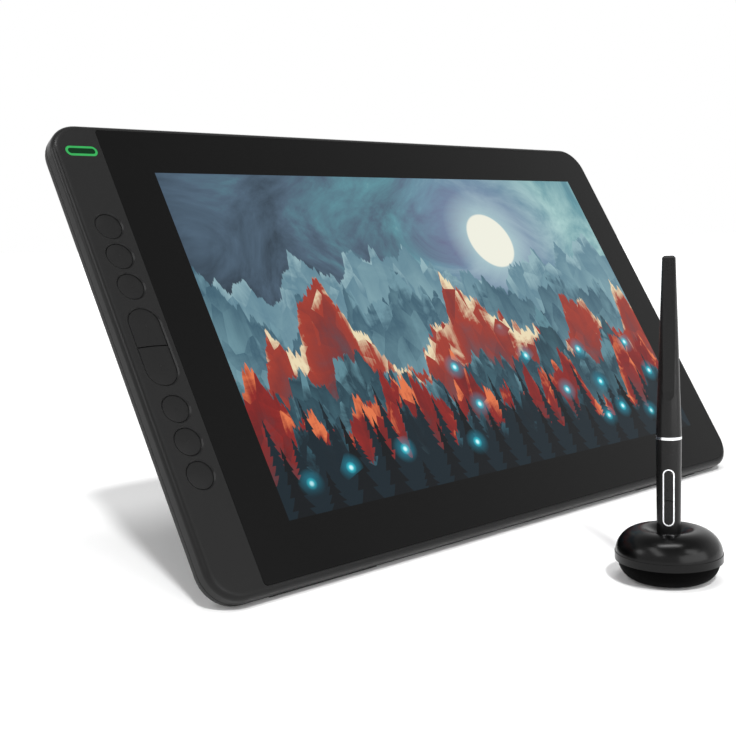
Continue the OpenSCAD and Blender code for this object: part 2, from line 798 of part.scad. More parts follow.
module rear_cover() color("#2b2b2b") on_desk() {
    low = -leg_reach - leg_end_r - leg_room;
    scoop_h = body_t + leg_inner + leg_ease;
    difference() {
        union() {
            difference() {
                translate([0, mid_y, back_z]) mirror([0, 0, 1])
                    soft_slab(body_w, body_h, corner_r, body_t - split_depth, back_r);
                translate([0, mid_y, inner_back]) mirror([0, 0, 1])
                    soft_slab(body_w - 2 * wall, body_h - 2 * wall, corner_r - wall,
                        cover_room, back_r - wall);
            }
            // The lip stands on a ledge on the inside of the wall
            translate([0, 0, -split_depth - lip_t]) linear_extrude(lip_t) difference() {
                body_outline(wall / 2);
                body_outline(wall + seat + lip_t);
            }
            translate([0, 0, -split_depth]) linear_extrude(lip_h) difference() {
                body_outline(wall + seat);
                body_outline(wall + seat + lip_t);
            }
            intersection() {
                at_hinge() {
                    hinge_pocket(pocket_skin);
                    leg_recess(pocket_skin);
                    translate([0, low, -body_t])
                        cylinder(d = scoop_d + 2 * pocket_skin, h = scoop_h + pocket_skin);
                }
                translate([0, 0, back_z + wall / 2]) linear_extrude(body_t) body_outline(wall);
            }
            for (p = board_posts) translate([p[0], p[1], back_z + wall / 2])
                cylinder(d = board_post_d, h = board_z - board_t - back_z - wall / 2);
        }
        at_hinge() {
            hinge_pocket();
            leg_recess();
            translate([0, low, -body_t]) cylinder(d = scoop_d, h = scoop_h);
        }
        translate([0, 0, -split_depth - seam]) linear_extrude(seam + cut) difference() {
            body_outline(-cut);
            body_outline(seam);
        }
        // Room in the lip for the sockets and the power button
        translate([body_w / 2 - wall - 2 * lip_t, port_up[0] - port_w, -split_depth])
            cube([2 * lip_t, port_up[1] - port_up[0] + 2 * port_w, lip_h + cut]);
        translate([power_x - power_len, body_h - wall - 2 * lip_t, -split_depth])
            cube([2 * power_len, 2 * lip_t, lip_h + cut]);
        for (p = screw_places) translate([p[0], p[1], back_z]) {
            translate([0, 0, -cut]) cylinder(d = screw_d + 4 * seat, h = wall + 2 * cut);
            translate([0, 0, -cut]) cylinder(d = screw_head_d + 4 * seat, h = screw_head_t + cut);
        }
        both_sides() foot_band(back_r - foot_sunk, back_r + cut);
        pad_places() translate([0, 0, -cut]) cylinder(d = pad_d, h = pad_sunk + cut);
    }
}

module cover_screws() color("#3a3a3a") on_desk() for (p = screw_places) translate([p[0], p[1], back_z]) {
    socket_d = 1.8;
    difference() {
        union() {
            cylinder(d = screw_head_d, h = screw_head_t);
            cylinder(d = screw_d - 2 * pin_fit, h = wall + screw_len - screw_end);
        }
        translate([0, 0, -cut]) cylinder(d = socket_d, h = cut + screw_head_t / 2, $fn = 6);
    }
}

module lower_feet() color("#1a1a1a") on_desk() both_sides() foot_band(back_r - foot_sunk, foot_r);

module back_pads() color("#1a1a1a") on_desk() pad_places()
    translate([0, 0, -pad_proud]) cylinder(d = pad_d - 2 * seat, h = pad_proud + pad_sunk);

module hinge_brackets() color("#8a8d90") on_desk() at_hinge() both_sides() difference() {
    translate([leg_w / 2 + bracket_gap, seat - pocket_low, -barrel_d / 2])
        cube([bracket_len, pocket_low + pocket_high - 2 * seat, barrel_d / 2 + pocket_r]);
    translate([leg_w / 2, 0, 0]) rotate([0, 90, 0])
        cylinder(d = pin_d + 2 * pin_fit, h = bracket_len + 2 * cut);
}

module hinge_pins() color("#c8c8c8") on_desk() at_hinge() both_sides()
    translate([leg_w / 2 - pin_in, 0, 0]) rotate([0, 90, 0])
        cylinder(d = pin_d, h = pin_in + bracket_gap + bracket_len);

// The kickstand's plate seen from behind, hinge at y = 0
module leg_outline(low, high, r) {
    translate([-leg_w / 2, low + r]) square([leg_w, high - low - r]);
    translate([-leg_w / 2 + r, low]) square([leg_w - 2 * r, high - low]);
    for (x = [-1, 1]) translate([x * (leg_w / 2 - r), low + r]) circle(r);
}

module kickstand() color("#333436") on_desk() at_hinge(leg_open) difference() {
    union() {
        translate([0, 0, leg_inner - leg_t]) linear_extrude(leg_t)
            leg_outline(-leg_reach + leg_foot_len, 0, leg_corner_r);
        translate([-leg_w / 2, 0, 0]) rotate([0, 90, 0]) cylinder(d = barrel_d, h = leg_w);
        // The heel that meets the pocket's floor when the kickstand is open
        rotate([-leg_open, 0, 0]) translate([-leg_w / 2, 0, 0]) rotate([90, 0, 90]) linear_extrude(leg_w)
            polygon([[0, 0], [0, heel_top], [heel_len, heel_top], [heel_len / 2, barrel_d / 8]]);
    }
    both_sides() translate([leg_w / 2 - pin_in - seat, 0, 0]) rotate([0, 90, 0])
        cylinder(d = pin_d + 2 * run, h = pin_in + seat + cut);
}

module kickstand_foot() color("#1a1a1a") on_desk() at_hinge(leg_open) {
    half = leg_w / 2 - leg_corner_r;
    translate([-half, -leg_reach, leg_middle - leg_end_r]) cube([2 * half, leg_foot_len, leg_t]);
    translate([-half, -leg_reach, leg_middle]) rotate([0, 90, 0]) cylinder(r = leg_end_r, h = 2 * half);
}

// Pen

// The pen's outside, from the nib's point up
module pen_body() {
    translate([0, 0, nib_out]) cylinder(d1 = tip_d, d2 = grip_d, h = cone_len);
    translate([0, 0, cone_top]) cylinder(d1 = grip_d, d2 = pen_d, h = ring_up - cone_top);
    translate([0, 0, ring_up]) cylinder(d = pen_d, h = ring_w);
    difference() {
        union() {
            translate([0, 0, ring_top])
                cylinder(d1 = pen_d, d2 = tail_d, h = pen_len - tail_bevel - ring_top);
            translate([0, 0, pen_len - tail_bevel])
                cylinder(d1 = tail_d, d2 = tail_d - 2 * tail_bevel, h = tail_bevel);
        }
        facet_cut();
    }
}

// The flat on the tail, which has a bevel at its end and runs out in a scoop
module facet_cut() {
    half = pen_d;
    translate([0, half, 0]) rotate([90, 0, 0]) linear_extrude(2 * half) {
        polygon([[facet_low_x, facet_low], [facet_top_x, pen_len - tail_bevel],
            [facet_top_x - tail_bevel - cut, pen_len + cut], [2 * half, pen_len + cut],
            [2 * half, facet_low]]);
        translate([facet_low_x + scoop_r, facet_low]) circle(scoop_r);
    }
}

module pen_slice(low, high) {
    intersection() {
        pen_body();
        translate([-pen_d, -pen_d, low]) cube([2 * pen_d, 2 * pen_d, high - low]);
    }
}

// A stadium prism through the front of the grip, shrunk by an inset
module button_prism(inset) {
    translate([0, 0, button_mid]) rotate([90, 0, 90]) linear_extrude(pen_d)
        rotate(90) stadium(button_len - 2 * inset, button_w - 2 * inset);
}

module pen_grip() color("#2a2a2a") at_pen() difference() {
    pen_slice(0, ring_up);
    translate([0, 0, cone_top]) cylinder(r = bore_r, h = ring_up);
    translate([0, 0, nib_out + tip_wall]) cylinder(d1 = nib_bore, d2 = 2 * bore_r, h = cone_len - tip_wall);
    cylinder(d = nib_bore, h = ring_up);
    button_prism(0);
}

module pen_ring() color("#e8e8ea") at_pen() translate([0, 0, ring_up]) difference() {
    cylinder(r = ring_r, h = ring_w);
    translate([0, 0, -cut]) cylinder(r = bore_r, h = ring_w + 2 * cut);
}

module pen_rear_barrel() color("#2a2a2a") at_pen() difference() {
    pen_slice(ring_top, pen_len - cap_len);
    translate([0, 0, ring_top - cut]) cylinder(r = rear_bore_r, h = (facet_low - ring_top) / 2 + cut);
}

// A prism through the facet at the tail, for the dark inlay, shrunk by an inset
module inlay_prism(inset) {
    translate([facet_top_x - inlay_depth + inset, 0, pen_len - inlay_in - inlay_len / 2]) rotate([90, 0, 90])
        linear_extrude(pen_d) rounded_rect(inlay_w - 2 * inset, inlay_len - 2 * inset, inlay_r - inset);
}

module pen_tail_cap() color("#2a2a2a") at_pen() difference() {
    pen_slice(pen_len - cap_len, pen_len);
    inlay_prism(0);
}

module pen_tail_inlay() color("#141414") at_pen() intersection() {
    pen_body();
    inlay_prism(pin_fit);
}

module pen_button_surround() color("#e8e8ea") at_pen() difference() {
    intersection() {
        button_prism(pin_fit);
        translate([0, 0, button_up - cut])
            cylinder(r = button_mid_r + surround_proud, h = button_len + 2 * cut);
    }
    button_prism(surround_w);
    translate([0, 0, button_up - 2 * cut]) cylinder(r = bore_r, h = button_len + 4 * cut);
}

module side_button(low, high) {
    switch_z = (low + high) / 2;
    color("#1d1d1d") at_pen() {
        difference() {
            intersection() {
                button_prism(surround_w + button_gap);
                translate([-pen_d, -pen_d, low]) cube([2 * pen_d, 2 * pen_d, high - low]);
                translate([0, 0, button_up]) cylinder(r = button_mid_r + button_proud, h = button_len);
            }
            translate([0, 0, button_up]) cylinder(r = bore_r - 2 * seat, h = button_len);
        }
        translate([button_stem_x, 0, switch_z]) rotate([0, 90, 0])
            cylinder(d = button_stem_d, h = bore_r - button_stem_x);
    }
}

module pen_button_upper() side_button(split_up + button_split / 2, button_up + button_len);
module pen_button_lower() side_button(button_up, split_up - button_split / 2);

module pen_nib() color("#d8d8d8") at_pen() {
    translate([0, 0, nib_d / 2]) cylinder(d = nib_d, h = nib_len - nib_d / 2);
    translate([0, 0, nib_d / 2]) sphere(d = nib_d);
}

module pen_coil() color("#b5652a") at_pen() translate([0, 0, coil_low]) difference() {
    cylinder(r = coil_r, h = coil_len);
    translate([0, 0, -cut]) cylinder(d = nib_bore, h = coil_len + 2 * cut);
}

module pen_board() color("#1f5a3a") at_pen() {
    sensor_z0 = nib_len + nib_travel + seat;
    translate([-sensor_w / 2, -sensor_w / 2, sensor_z0]) cube([sensor_w, sensor_w, sensor_len]);
    translate([-pen_board_t / 2, -pen_board_w / 2, sensor_z0])
        cube([pen_board_t, pen_board_w, pen_board_top - sensor_z0]);
    for (z = [(button_up + split_up) / 2, (split_up + button_up + button_len) / 2])
        translate([0, -pen_switch_w / 2, z - pen_switch_w / 2])
            cube([pen_board_t / 2 + switch_t, pen_switch_w, pen_switch_w]);
}

// Pen stand

// The top shell's section, right of the axis, shrunk by a wall
module top_section(inset) {
    intersection() {
        translate([crest_r, stand_h - dome_r]) circle(dome_r - inset);
        translate([crest_r, base_h]) square([stand_r, stand_h]);
    }
    intersection() {
        translate([crest_r, stand_h - dish_r]) circle(dish_r - inset);
        translate([mouth_r, base_h]) square([dish_run, stand_h]);
    }
}

module stand_top() color("#0c0c0d") at_stand() difference() {
    rotate_extrude() {
        difference() {
            union() {
                intersection() {
                    top_section(0);
                    translate([0, band_top]) square([stand_r - dome_in, stand_h]);
                }
                translate([mouth_r, base_h + shell_gap]) square([stand_r - mouth_r, band_h - shell_gap]);
            }
            intersection() {
                top_section(stand_wall);
                translate([well_r, 0]) square([stand_r - dome_in - stand_wall - well_r, stand_h]);
            }
            translate([well_r, 0]) square([stand_r - stand_wall - well_r, band_top]);
        }
        translate([spigot_in, spigot_low]) square([spigot_t, spigot_high - spigot_low]);
        translate([0, well_low]) square([well_r, stand_h - dish_drop - well_low]);
    }
    translate([0, 0, nib_z + nib_out]) cylinder(r1 = tip_d / 2 + socket_gap, r2 = mouth_r, h = cone_len);
    translate([0, 0, nib_z + cone_top]) cylinder(r = mouth_r, h = stand_h);
    cylinder(r = tip_d / 2 + socket_gap, h = stand_h);
}

module stand_base() color("#141414") at_stand() rotate_extrude() {
    difference() {
        union() {
            intersection() {
                translate([bowl_mid, base_h]) circle(foot_corner);
                translate([bowl_mid, pad_show]) square([stand_r, foot_corner]);
            }
            translate([0, pad_show]) square([bowl_mid, foot_corner]);
        }
        intersection() {
            translate([bowl_mid, base_h]) circle(foot_corner - stand_wall);
            translate([bowl_mid, base_floor]) square([stand_r, base_h]);
        }
        translate([0, base_floor]) square([bowl_mid, base_h]);
        square([pad_r, stand_pad_t]);
    }
}

module stand_weight() color("#8a8d90") at_stand() translate([0, 0, base_floor]) difference() {
    cylinder(r = weight_out, h = weight_t);
    translate([0, 0, -cut]) cylinder(r = weight_in, h = weight_t + 2 * cut);
}

module stand_pad() color("#202020") at_stand() cylinder(r = pad_r - seat, h = stand_pad_t);

module nib_lines(d, len) {
    for (i = [0 : spare_count - 1]) rotate(i * 360 / spare_count)
        translate([spare_r, len / 2, base_h]) rotate([90, 0, 0]) cylinder(d = d, h = len);
}

module nib_tray() color("#3a3a3a") at_stand() difference() {
    translate([0, 0, tray_z]) cylinder(r = tray_out, h = tray_t);
    translate([0, 0, tray_z - cut]) cylinder(r = weight_in, h = tray_t + 2 * cut);
    nib_lines(nib_d + 2 * seat, spare_len + 4 * seat);
}

module spare_nibs() color("#d8d8d8") at_stand() nib_lines(nib_d, spare_len);

front_frame();
cover_glass();
screen_panel();
backlight();
pen_sensor_board();
shield_plate();
panel_screws();
key_board();
dome_switches();
status_light();
status_light_mask();
key_upper_1();
key_upper_2();
key_upper_3();
key_pill_upper();
key_pill_lower();
key_lower_1();
key_lower_2();
key_lower_3();
main_board();
cable_sockets();
power_switch();
power_button();
rear_cover();
cover_screws();
lower_feet();
back_pads();
hinge_brackets();
hinge_pins();
kickstand();
kickstand_foot();
pen_grip();
pen_rear_barrel();
pen_ring();
pen_tail_cap();
pen_tail_inlay();
pen_button_surround();
pen_button_upper();
pen_button_lower();
pen_nib();
pen_coil();
pen_board();
stand_top();
stand_base();
stand_weight();
stand_pad();
nib_tray();
spare_nibs();
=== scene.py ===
import math

import bpy
from mathutils import Matrix, Vector

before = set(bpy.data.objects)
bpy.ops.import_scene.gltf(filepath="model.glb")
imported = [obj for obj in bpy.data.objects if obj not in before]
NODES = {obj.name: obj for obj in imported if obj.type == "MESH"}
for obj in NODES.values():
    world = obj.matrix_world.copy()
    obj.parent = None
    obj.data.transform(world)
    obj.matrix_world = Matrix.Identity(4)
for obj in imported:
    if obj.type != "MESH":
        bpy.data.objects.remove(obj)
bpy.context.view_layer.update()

MM = 0.001

# The tablet's own plane, as the solids have it: lean, and the middle of its lower front edge
LEAN = math.radians(59.0)
EDGE = Vector((0.0, -3.197, 4.98)) * MM
# The lit picture in that plane: left and lower edge, width and height
PICTURE_X, PICTURE_Y = -143.6 * MM, 26.9 * MM
PICTURE_W, PICTURE_H = 309.4 * MM, 174.0 * MM
# Slow unevenness across a moulding, and along a lit lens
CLOUD, LENS_CLOUD = 40 * MM, 3 * MM
# Grain of the etched glass, drawn coarser than real etching, which is finer than 0.1 mm
ETCH = 0.4 * MM
# Where the lamps point, in metres: the stand, its pen, and the strip of keys
STAND, PEN, KEYS = (-0.035, -0.1, 0.02), (-0.035, -0.1, 0.1), (-0.19, 0.05, 0.1)
# The level line that runs across the camera's view
ACROSS_VIEW = (0.73, -0.68, 0.0)
# What the camera and mirrors see of the studio, where 1 is white, and the light that the studio gives
STUDIO_SEEN, STUDIO_LIGHT = 1.0, 0.22
# Half the floor's side, in metres
HALF_FLOOR = 40.0


def srgb(hex_colour):
    """A hex colour as the linear RGBA that shaders take."""
    parts = [int(hex_colour[i:i + 2], 16) / 255 for i in (1, 3, 5)]
    return [c / 12.92 if c <= 0.04045 else ((c + 0.055) / 1.055) ** 2.4 for c in parts] + [1.0]


def node(tree, kind, inputs=(), stops=(), **settings):
    """Adds a node with its settings, and fills its inputs, by name or in order, with values or links.
    A node given as an input is linked by its first output. Stops are a ramp's places and colours."""
    made = tree.nodes.new(kind)
    for name, value in settings.items():
        setattr(made, name, value)
    if stops:
        marks = made.color_ramp.elements
        marks.remove(marks[1])
        marks[0].position, marks[0].color = stops[0][0], srgb(stops[0][1])
        for position, colour in stops[1:]:
            marks.new(position).color = srgb(colour)
    for key, value in (inputs if isinstance(inputs, dict) else dict(enumerate(inputs))).items():
        if isinstance(value, bpy.types.Node):
            value = value.outputs[0]
        if isinstance(value, bpy.types.NodeSocket):
            tree.links.new(value, made.inputs[key])
        else:
            made.inputs[key].default_value = value
    return made


def material(name):
    """An empty material; returns it with its node tree."""
    made = bpy.data.materials.new(name)
    made.use_nodes = True
    made.node_tree.nodes.clear()
    return made, made.node_tree


def grained(name, light, dark, rough, grain, depth, edge=None, **shine):
    """A surface with a fine grain: grain and depth in mm, roughness from and to.
    Edges of a flat front that slope away from it are smoother where edge is given.
    Real grain of 0.05 to 0.2 mm is too fine to show, so it is drawn from 0.3 mm up."""
    made, tree = material(name)
    place = node(tree, "ShaderNodeTexCoord").outputs["Object"]
    fine = node(tree, "ShaderNodeTexNoise", {"Vector": place, "Scale": 1 / (grain * MM), "Detail": 3.0})
    wide = node(tree, "ShaderNodeTexNoise", {"Vector": place, "Scale": 1 / CLOUD, "Detail": 2.0})
    both = node(tree, "ShaderNodeMix", {"Factor": 0.5, 2: fine, 3: wide})
    tone = node(tree, "ShaderNodeMix", {"Factor": both, 6: srgb(dark), 7: srgb(light)}, data_type="RGBA")
    gloss = node(tree, "ShaderNodeMapRange", (fine, 0.3, 0.7, *rough))
    if edge is not None:
        normal = node(tree, "ShaderNodeTexCoord").outputs["Normal"]
        front = (0, -math.sin(LEAN), math.cos(LEAN))
        facing = node(tree, "ShaderNodeVectorMath", (normal, front), operation="DOT_PRODUCT").outputs["Value"]
        slope = node(tree, "ShaderNodeMapRange", (facing, 0.97, 0.9))
        gloss = node(tree, "ShaderNodeMix", {"Factor": slope, 2: gloss, 3: edge})
    bump = node(tree, "ShaderNodeBump", {"Strength": 0.6, "Distance": depth * MM, "Height": fine})
    shader = node(tree, "ShaderNodeBsdfPrincipled", {
        "Base Color": tone.outputs[2], "Roughness": gloss, "Normal": bump, **shine})
    node(tree, "ShaderNodeOutputMaterial", {"Surface": shader})
    return made


def dress(finish, *names):
    """Gives a finish to CAD nodes."""
    for name in names:
        for place in NODES[name].material_slots:
            place.material = finish


# Black ABS, moulded against a spark-eroded tool: an even matt grey-black, with a soft sheen on its rim
abs_frame = grained("abs_spark_moulded", "#1a1a1a", "#171717", (0.48, 0.56), 0.5, 0.006, 0.28,
                    **{"Specular IOR Level": 0.14, "IOR": 1.5})
# The same ABS, moulded in a finer tool: the frame's black, a touch smoother
abs_keys = grained("abs_satin_moulded", "#1a1a1a", "#171717", (0.4, 0.46), 0.4, 0.003,
                   **{"Specular IOR Level": 0.12, "IOR": 1.5})
# The back's ABS, moulded in a coarse tool: a duller black that hides scratches
abs_back = grained("abs_coarse_moulded", "#2a2a2a", "#242424", (0.52, 0.64), 0.9, 0.02,
                   **{"Specular IOR Level": 0.16, "IOR": 1.5})
# Soft-touch lacquer on the pen's barrel: dark, with one broad and even highlight
soft_touch = grained("soft_touch_lacquer", "#171717", "#141414", (0.22, 0.28), 0.4, 0.002,
                     **{"Specular IOR Level": 0.18, "IOR": 1.5})
# Half-polished ABS of the pen's buttons: a shade darker than the barrel around them
pen_dark = grained("abs_semi_gloss", "#141414", "#101010", (0.25, 0.32), 0.5, 0.002,
                   **{"Specular IOR Level": 0.2, "IOR": 1.5})
# Polished ABS of the stand's top: deep black, with clear patches of the lamps
stand_gloss = grained("abs_polished", "#040404", "#030303", (0.2, 0.24), 3.0, 0.001,
                      **{"Specular IOR Level": 0.2, "IOR": 1.5})
# Dull ABS of the stand's base: takes up the light, so that it reads as one dark shape
stand_matt = grained("abs_dull_moulded", "#040404", "#030303", (0.6, 0.68), 0.5, 0.006,
                     **{"Specular IOR Level": 0.02, "IOR": 1.5})
# Moulded rubber of feet and pads: dead matt, with no clear highlight
rubber = grained("rubber_moulded", "#1b1b1b", "#151515", (0.75, 0.88), 0.8, 0.03,
                 **{"Specular IOR Level": 0.3, "IOR": 1.52})
# Powder-coated aluminium of the kickstand: dark grey, with a fine pebbled sheen
powder = grained("aluminium_powder_coated", "#313234", "#2a2b2d", (0.5, 0.64), 0.9, 0.03,
                 **{"Specular IOR Level": 0.4, "IOR": 1.5})
# Lacquer over a circuit board: clear green, slightly glossy
board = grained("circuit_board_lacquer", "#1c5a36", "#164a2c", (0.3, 0.45), 1.5, 0.01,
                **{"Specular IOR Level": 0.5, "IOR": 1.5})
# Rolled steel sheet: a bright grey that mirrors in a blur
steel_sheet = grained("steel_rolled_sheet", "#bfc2c5", "#a9acaf", (0.28, 0.4), 0.8, 0.004, Metallic=1.0)
# Steel blackened with oxide: dark, with a dull gleam
steel_dark = grained("steel_black_oxide", "#3a3a3c", "#2c2c2e", (0.35, 0.5), 0.6, 0.004, Metallic=1.0)
# Chrome plate on brass: a bright line that takes the white of the studio
chrome = grained("brass_chrome_plated", "#f2f2f4", "#e9eaec", (0.22, 0.28), 2.0, 0.0005, Metallic=1.0)
# Turned acetal of the nibs: off-white, with a waxy shine
nib_white = grained("acetal_turned", "#d2d2cf", "#c4c4c1", (0.4, 0.5), 0.5, 0.003)
# Cast acrylic of the screen's layers: white and smooth
light_guide = grained("acrylic_cast", "#eef0f2", "#e4e7ea", (0.1, 0.2), 4.0, 0.001)
# Enamelled copper wire of the pen's coil: a warm metal, finely ridged
copper = grained("copper_enamelled_wire", "#b9673a", "#9a4f28", (0.25, 0.4), 0.3, 0.03, Metallic=1.0)


def lit(name, colour, glow, strength, rough):
    """A moulded lens that light comes through, a little uneven along its length."""
    made, tree = material(name)
    place = node(tree, "ShaderNodeTexCoord").outputs["Object"]
    cloud = node(tree, "ShaderNodeTexNoise", {"Vector": place, "Scale": 1 / LENS_CLOUD, "Detail": 1.0})
    even = node(tree, "ShaderNodeMapRange", {"Value": cloud, "To Min": 0.9, "To Max": 1.1})
    hue = node(tree, "ShaderNodeMix", {"Factor": even, 6: (0, 0, 0, 1), 7: srgb(glow)},
               data_type="RGBA", clamp_factor=False)
    shader = node(tree, "ShaderNodeBsdfPrincipled", {
        "Base Color": srgb(colour), "Roughness": rough, "Emission Color": hue.outputs[2],
        "Emission Strength": strength, "Specular IOR Level": 0.05})
    node(tree, "ShaderNodeOutputMaterial", {"Surface": shader})
    return made


# Acrylic that scatters the status light: an even green glow all around the ring
lens_green = lit("acrylic_diffusing_green", "#123a20", "#37a354", 1.0, 0.35)
# Tinted acrylic within the ring: almost black, with a trace of the green
lens_dark = lit("acrylic_tinted_green", "#040a06", "#0a3219", 1.0, 0.35)


def etched_glass():
    """Etched cover glass bonded to the panel: a dull black printed border around the lit picture."""
    made, tree = material("glass_etched_bonded")
    place = node(tree, "ShaderNodeTexCoord").outputs["Object"]
    # The lower front edge, turned into the picture's plane
    low = Vector((0, EDGE.y * math.cos(LEAN) + EDGE.z * math.sin(LEAN),
                  EDGE.z * math.cos(LEAN) - EDGE.y * math.sin(LEAN)))
    flat = node(tree, "ShaderNodeMapping", {"Vector": place, "Rotation": (-LEAN, 0, 0), "Location": -low})
    axes = node(tree, "ShaderNodeSeparateXYZ", (flat,))
    # Across and up the picture, both in picture heights
    wide = PICTURE_W / PICTURE_H
    across = node(tree, "ShaderNodeMapRange", (axes.outputs[0], PICTURE_X, PICTURE_X + PICTURE_W, 0.0, wide),
                  clamp=False)
    up = node(tree, "ShaderNodeMapRange", (axes.outputs[1], PICTURE_Y, PICTURE_Y + PICTURE_H), clamp=False)
    spot = node(tree, "ShaderNodeCombineXYZ", (across, up))
    picture = landscape(tree, spot, across, up)
    # One inside the picture and nought on the border
    inside = None
    for value, last in ((across, wide), (up, 1.0)):
        gap = node(tree, "ShaderNodeMath", (value, last / 2), operation="SUBTRACT")
        size = node(tree, "ShaderNodeMath", (gap,), operation="ABSOLUTE")
        held = node(tree, "ShaderNodeMath", (size, last / 2), operation="LESS_THAN")
        inside = held if inside is None else node(tree, "ShaderNodeMath", (held, inside), operation="MULTIPLY")
    shown = node(tree, "ShaderNodeMix", {"Factor": inside, 6: (0, 0, 0, 1), 7: picture}, data_type="RGBA")
    etch = node(tree, "ShaderNodeTexNoise", {"Vector": place, "Scale": 1 / ETCH, "Detail": 2.0})
    haze = node(tree, "ShaderNodeMapRange", {"Value": etch, "To Min": 0.26, "To Max": 0.32})
    bump = node(tree, "ShaderNodeBump", {"Strength": 0.2, "Distance": 0.001 * MM, "Height": etch})
    shader = node(tree, "ShaderNodeBsdfPrincipled", {
        "Base Color": srgb("#090909"), "Roughness": haze, "IOR": 1.5, "Specular IOR Level": 0.105,
        "Normal": bump, "Emission Color": shown.outputs[2], "Emission Strength": 1.0})
    node(tree, "ShaderNodeOutputMaterial", {"Surface": shader})
    return made


def landscape(tree, spot, across, up):
    """The picture on the screen: a moon over misty ridges, red cliffs, firs and lanterns."""
    # Sky: slate at the left, lighter teal at the right, in broad soft strokes
    stroke = node(tree, "ShaderNodeTexNoise", {"Vector": spot, "Scale": 2.4, "Detail": 6.0, "Roughness": 0.62,
                                               "Distortion": 1.4})
    drift = node(tree, "ShaderNodeMath", (across, 0.26, -0.14), operation="MULTIPLY_ADD")
    mood = node(tree, "ShaderNodeMath", (stroke, drift), operation="ADD")
    picture = node(tree, "ShaderNodeValToRGB", (mood,), stops=(
        (0.28, "#2c3a47"), (0.46, "#4d6275"), (0.66, "#5c8f9b"), (0.98, "#b4d8d4"))).outputs[0]
    # What lies over the sky, from the back to the front: how much of it shows, and its colour
    layers = []
    # A moon behind the mist, with a violet ring of haze: outer and inner edge, share, colour
    far = node(tree, "ShaderNodeVectorMath", (spot, (1.2, 0.76, 0)), operation="DISTANCE").outputs["Value"]
    for outer, inner, share, colour in ((0.42, 0.1, 0.55, "#8a7fae"), (0.2, 0.08, 0.7, "#b9dcd9"),
                                        (0.104, 0.098, 0.95, "#f0efe0")):
        layers.append((node(tree, "ShaderNodeMapRange", (far, outer, inner, 0.0, share)), srgb(colour)))
    # Ridges from far to near: start, pitch, lowest, highest, lit crest, face, foot
    ridges = (
        (3.1, 2.2, 0.5, 0.86, "#8fb0b8", "#5f8494", "#86aab2"),
        (7.7, 2.8, 0.38, 0.76, "#6d93a0", "#3d5f70", "#7299a4"),
        (12.4, 3.3, 0.28, 0.66, "#e9d9b4", "#a23a2c", "#5d2a30"),
        (19.8, 3.8, 0.16, 0.52, "#5d8793", "#26424f", "#47707c"),
        (27.2, 4.4, 0.06, 0.46, "#e0764a", "#8c2320", "#3b161d"),
        (33.5, 5.2, -0.02, 0.3, "#2f5461", "#16262f", "#0f1a22"),
    )
    for start, pitch, low, high, crest, face, foot in ridges:
        along = node(tree, "ShaderNodeMath", (across, pitch, start), operation="MULTIPLY_ADD")
        jag = node(tree, "ShaderNodeTexNoise", {"W": along, "Scale": 1.0, "Detail": 7.0, "Roughness": 0.6},
                   noise_dimensions="1D")
        skyline = node(tree, "ShaderNodeMapRange", (jag, 0.25, 0.75, low, high))
        deep = node(tree, "ShaderNodeMath", (skyline, up), operation="SUBTRACT")
        # Planes of rock, each of which catches more or less light
        bent = node(tree, "ShaderNodeTexNoise", {"Vector": spot, "Scale": 6.0 + pitch, "Detail": 5.0,
                                                 "Roughness": 0.6, "Distortion": 0.9})
        drawn = node(tree, "ShaderNodeVectorMath", (spot, (1.5, 0.8, 1.0)), operation="MULTIPLY")
        slab = node(tree, "ShaderNodeTexVoronoi", {"Vector": drawn, "Scale": 10.0 + pitch, "W": start},
                    voronoi_dimensions="4D")
        tone = node(tree, "ShaderNodeSeparateColor", (slab.outputs["Color"],))
        rough = node(tree, "ShaderNodeMath", (bent, 0.7), operation="MULTIPLY")
        shade = node(tree, "ShaderNodeMath", (deep, 2.0, rough), operation="MULTIPLY_ADD")
        plane = node(tree, "ShaderNodeMath", (tone, 0.36, -0.4), operation="MULTIPLY_ADD")
        light = node(tree, "ShaderNodeMath", (shade, plane), operation="ADD")
        rock = node(tree, "ShaderNodeValToRGB", (light,), stops=((0.02, crest), (0.2, face), (0.85, foot)))
        layers.append((node(tree, "ShaderNodeMapRange", (deep, -0.002, 0.002)), rock))
        # Mist that gathers at the foot of each ridge
        sunk = node(tree, "ShaderNodeMapRange", (deep, 0.1, 0.45))
        wisp = node(tree, "ShaderNodeMapRange", (bent, 0.4, 0.75, 0.0, 0.45))
        mist = node(tree, "ShaderNodeMath", (sunk, wisp), operation="MULTIPLY")
        layers.append((mist, srgb("#6f98a3")))
    # Two rows of firs: trees per picture height, foot, height, colour
    for count, foot, tall, colour in ((15.0, 0.09, 0.24, "#12222b"), (9.0, -0.05, 0.32, "#0a1015")):
        row = node(tree, "ShaderNodeMath", (across, count), operation="MULTIPLY")
        fir = node(tree, "ShaderNodeMath", (row,), operation="FLOOR")
        luck = node(tree, "ShaderNodeTexWhiteNoise", {"W": fir}, noise_dimensions="1D")
        rise = node(tree, "ShaderNodeMath", (up, foot), operation="SUBTRACT")
        top = node(tree, "ShaderNodeMapRange", (luck, 0.0, 1.0, tall * 0.4, tall))
        share = node(tree, "ShaderNodeMath", (rise, top), operation="DIVIDE")
        # Seven tiers of boughs, each narrower at its top
        tiers = node(tree, "ShaderNodeMath", (share, 7.0), operation="MULTIPLY")
        tier = node(tree, "ShaderNodeMath", (tiers,), operation="FRACT")
        droop = node(tree, "ShaderNodeMapRange", (tier, 0.0, 1.0, 0.46, 0.22))
        taper = node(tree, "ShaderNodeMath", (1.0, share), operation="SUBTRACT")
        half = node(tree, "ShaderNodeMath", (taper, droop), operation="MULTIPLY")
